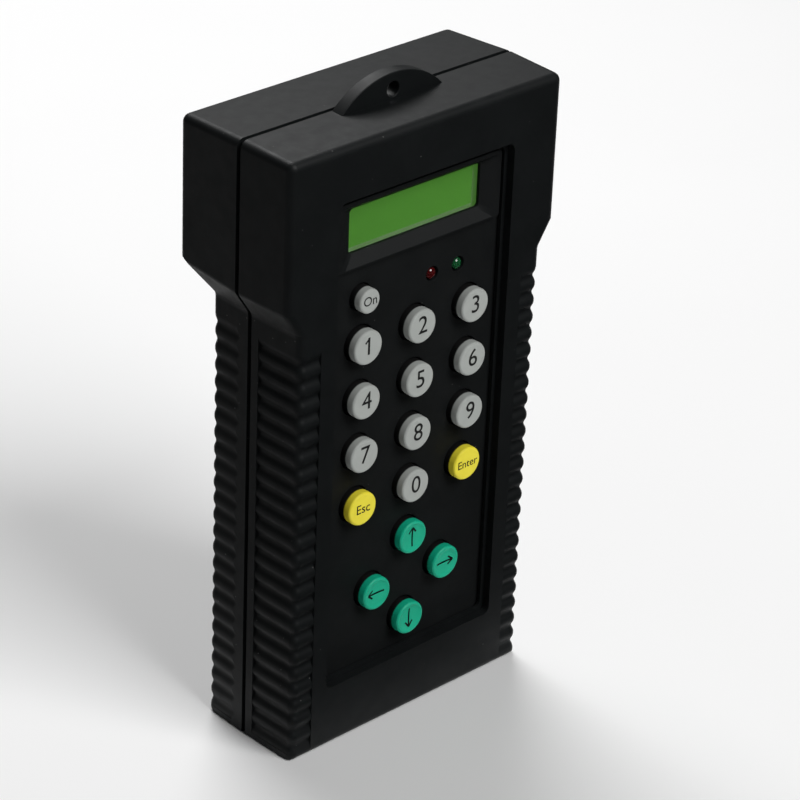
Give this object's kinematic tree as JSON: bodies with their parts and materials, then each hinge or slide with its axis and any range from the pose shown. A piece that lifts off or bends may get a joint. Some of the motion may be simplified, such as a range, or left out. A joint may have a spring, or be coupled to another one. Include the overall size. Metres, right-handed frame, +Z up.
{
  "type": "electronic game caller",
  "caption": "Hand-held electronic game caller: two-part ribbed case with a wider display head, round sprung keys, a small display, lamps, a rear loudspeaker grille and a hinged battery door.",
  "frame": {"origin": "middle of the bottom end, which the caller stands on", "axes": "+Z up towards the display head and hanging lug, -Y out of the keypad face, +Y out of the back, +X to the right of someone reading the keypad"},
  "size_m": [0.076, 0.0343, 0.1472],
  "materials": {
    "case_black": "fine spark-eroded texture, satin black",
    "panel_black": "finely textured black",
    "key_grey": "satin, printed legend",
    "key_yellow": "satin, printed legend",
    "key_green": "satin, printed arrow",
    "rubber_mat": "smooth silicone",
    "clear_lens": "clear acrylic",
    "display_green": "yellow-green liquid crystal, unlit",
    "light_guide": "clear edge-lit sheet",
    "steel": "plated",
    "board_green": "solder mask",
    "chip_black": "moulded epoxy",
    "capacitor_sleeve": "shrink sleeve",
    "lamp_red": "tinted clear epoxy",
    "lamp_green": "tinted clear epoxy",
    "cell_wrap": "plain printed sleeve",
    "speaker_paper": "pressed paper cone",
    "magnet": "ferrite",
    "gasket_foam": "closed-cell foam"
  },
  "bodies": {
    "case": {"amplifier_chip": "chip_black", "battery_cell_1": "cell_wrap", "battery_cell_2": "cell_wrap", "battery_cell_3": "cell_wrap", "battery_cell_4": "cell_wrap", "battery_contact_1": "steel", "battery_contact_2": "steel", "battery_contact_3": "steel", "battery_contact_4": "steel", "battery_spring_1": "steel", "battery_spring_2": "steel", "battery_spring_3": "steel", "battery_spring_4": "steel", "capacitor": "capacitor_sleeve", "case_screw_1": "steel", "case_screw_2": "steel", "case_screw_3": "steel", "case_screw_4": "steel", "controller_chip": "chip_black", "display_bezel": "panel_black", "display_frame": "steel", "display_glass": "display_green", "display_light_guide": "light_guide", "display_window": "clear_lens", "front_shell": "case_black", "green_lamp": "lamp_green", "key_mat": "rubber_mat", "keypad_panel": "panel_black", "main_board": "board_green", "rear_shell": "case_black", "red_lamp": "lamp_red", "sound_memory_chip": "chip_black", "speaker_basket": "steel", "speaker_cone": "speaker_paper", "speaker_gasket": "gasket_foam", "speaker_magnet": "magnet"},
    "key_on": {"key_on": "key_grey"},
    "key_1": {"key_1": "key_grey"},
    "key_2": {"key_2": "key_grey"},
    "key_3": {"key_3": "key_grey"},
    "key_4": {"key_4": "key_grey"},
    "key_5": {"key_5": "key_grey"},
    "key_6": {"key_6": "key_grey"},
    "key_7": {"key_7": "key_grey"},
    "key_8": {"key_8": "key_grey"},
    "key_9": {"key_9": "key_grey"},
    "key_escape": {"key_escape": "key_yellow"},
    "key_0": {"key_0": "key_grey"},
    "key_enter": {"key_enter": "key_yellow"},
    "key_up": {"key_up": "key_green"},
    "key_left": {"key_left": "key_green"},
    "key_right": {"key_right": "key_green"},
    "key_down": {"key_down": "key_green"},
    "battery_door": {"battery_door": "case_black"}
  },
  "joints": [
    {"name": "key_on_press", "type": "slide", "parent": "case", "child": "key_on", "axis": [0, 1, 0], "range_m": [0, 0.001], "stiffness_N_per_m": 700},
    {"name": "key_1_press", "type": "slide", "parent": "case", "child": "key_1", "axis": [0, 1, 0], "range_m": [0, 0.001], "stiffness_N_per_m": 700},
    {"name": "key_2_press", "type": "slide", "parent": "case", "child": "key_2", "axis": [0, 1, 0], "range_m": [0, 0.001], "stiffness_N_per_m": 700},
    {"name": "key_3_press", "type": "slide", "parent": "case", "child": "key_3", "axis": [0, 1, 0], "range_m": [0, 0.001], "stiffness_N_per_m": 700},
    {"name": "key_4_press", "type": "slide", "parent": "case", "child": "key_4", "axis": [0, 1, 0], "range_m": [0, 0.001], "stiffness_N_per_m": 700},
    {"name": "key_5_press", "type": "slide", "parent": "case", "child": "key_5", "axis": [0, 1, 0], "range_m": [0, 0.001], "stiffness_N_per_m": 700},
    {"name": "key_6_press", "type": "slide", "parent": "case", "child": "key_6", "axis": [0, 1, 0], "range_m": [0, 0.001], "stiffness_N_per_m": 700},
    {"name": "key_7_press", "type": "slide", "parent": "case", "child": "key_7", "axis": [0, 1, 0], "range_m": [0, 0.001], "stiffness_N_per_m": 700},
    {"name": "key_8_press", "type": "slide", "parent": "case", "child": "key_8", "axis": [0, 1, 0], "range_m": [0, 0.001], "stiffness_N_per_m": 700},
    {"name": "key_9_press", "type": "slide", "parent": "case", "child": "key_9", "axis": [0, 1, 0], "range_m": [0, 0.001], "stiffness_N_per_m": 700},
    {"name": "key_escape_press", "type": "slide", "parent": "case", "child": "key_escape", "axis": [0, 1, 0], "range_m": [0, 0.001], "stiffness_N_per_m": 700},
    {"name": "key_0_press", "type": "slide", "parent": "case", "child": "key_0", "axis": [0, 1, 0], "range_m": [0, 0.001], "stiffness_N_per_m": 700},
    {"name": "key_enter_press", "type": "slide", "parent": "case", "child": "key_enter", "axis": [0, 1, 0], "range_m": [0, 0.001], "stiffness_N_per_m": 700},
    {"name": "key_up_press", "type": "slide", "parent": "case", "child": "key_up", "axis": [0, 1, 0], "range_m": [0, 0.001], "stiffness_N_per_m": 700},
    {"name": "key_left_press", "type": "slide", "parent": "case", "child": "key_left", "axis": [0, 1, 0], "range_m": [0, 0.001], "stiffness_N_per_m": 700},
    {"name": "key_right_press", "type": "slide", "parent": "case", "child": "key_right", "axis": [0, 1, 0], "range_m": [0, 0.001], "stiffness_N_per_m": 700},
    {"name": "key_down_press", "type": "slide", "parent": "case", "child": "key_down", "axis": [0, 1, 0], "range_m": [0, 0.001], "stiffness_N_per_m": 700},
    {"name": "battery_door_hinge", "type": "hinge", "parent": "case", "child": "battery_door", "pos_m": [0, 0.00965, 0.0321], "axis": [-1, 0, 0], "range_deg": [0, 75]}
  ]
}
